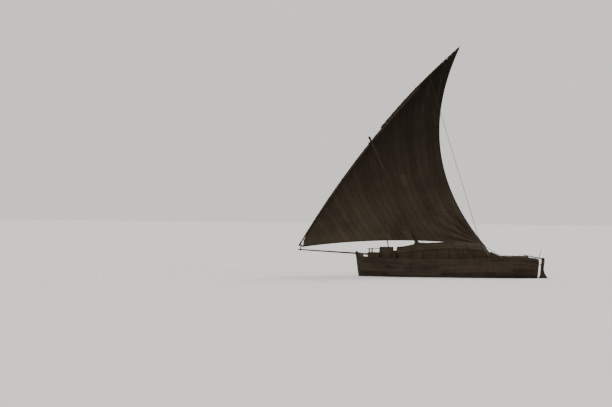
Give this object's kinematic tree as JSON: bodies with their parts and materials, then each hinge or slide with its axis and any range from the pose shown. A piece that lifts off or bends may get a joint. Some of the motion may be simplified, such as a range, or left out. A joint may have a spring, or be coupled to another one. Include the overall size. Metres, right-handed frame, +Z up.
{
  "type": "dhow sailing boat",
  "caption": "Broad wooden cargo dhow under one large lateen sail on a bowed yard, forward-raked mast, matting hold cover, bowsprit and hung rudder with tiller.",
  "frame": {"origin": "amidships on the centreline at the waterline", "axes": "+X towards the bow, +Y to port, +Z up"},
  "size_m": [22.0082, 4.986, 21.5463],
  "materials": {
    "planking": "oiled and weathered planks, nearly black brown",
    "decking": "bare worn deck planks",
    "timber": "heavy hewn timbers, oiled",
    "pole": "round poles with bark off, oiled",
    "matting": "woven palm matting, weathered",
    "canvas": "tanned dark cotton sailcloth",
    "cordage": "laid coir rope",
    "iron": "forged iron, rusted"
  },
  "bodies": {
    "hull": {"hull_shell": "planking", "keel": "planking", "stem": "planking", "sternpost": "planking", "transom": "planking", "fore_bulkhead": "planking", "aft_bulkhead": "planking", "gunwale_port": "planking", "gunwale_starboard": "planking", "wale_port": "planking", "wale_starboard": "planking", "poop_deck": "decking", "fore_deck": "decking", "hold_floor": "decking", "side_deck_port": "decking", "side_deck_starboard": "decking", "quarter_board_port": "decking", "quarter_board_starboard": "decking", "keelson": "timber", "beam_aft": "timber", "mast_beam": "timber", "beam_fore": "timber", "galley_box": "timber", "bow_bitt_port": "timber", "bow_bitt_starboard": "timber", "taffrail": "timber", "sheet_bitt_port": "timber", "sheet_bitt_starboard": "timber", "halyard_post": "timber", "mast": "pole", "cover_frame": "pole", "bowsprit": "pole", "stern_staff": "pole", "cover_roof": "matting", "cover_screen_port": "matting", "cover_screen_starboard": "matting", "fore_cover": "matting", "bow_screen_port": "matting", "bow_screen_starboard": "matting", "yard_sling": "cordage", "tack_strop": "cordage", "stay_fore": "cordage", "stay_aft": "cordage", "runner": "cordage", "halyard": "cordage", "gudgeon_upper": "iron", "gudgeon_lower": "iron"},
    "rudder_body": {"rudder": "timber", "tiller": "timber"},
    "rig": {"yard": "pole", "yard_top": "pole", "sail": "canvas"}
  },
  "joints": [
    {"name": "rudder_hinge", "type": "hinge", "parent": "hull", "child": "rudder_body", "pos_m": [-7.95964, 0, -0.008], "axis": [-0.0888, 0, 0.996], "range_deg": [-35, 35]},
    {"name": "sail_swing", "type": "hinge", "parent": "hull", "child": "rig", "pos_m": [12.81416, -0.12448, 2.87106], "axis": [-0.5674, -0.0124, 0.8234], "range_deg": [0, 45]}
  ]
}
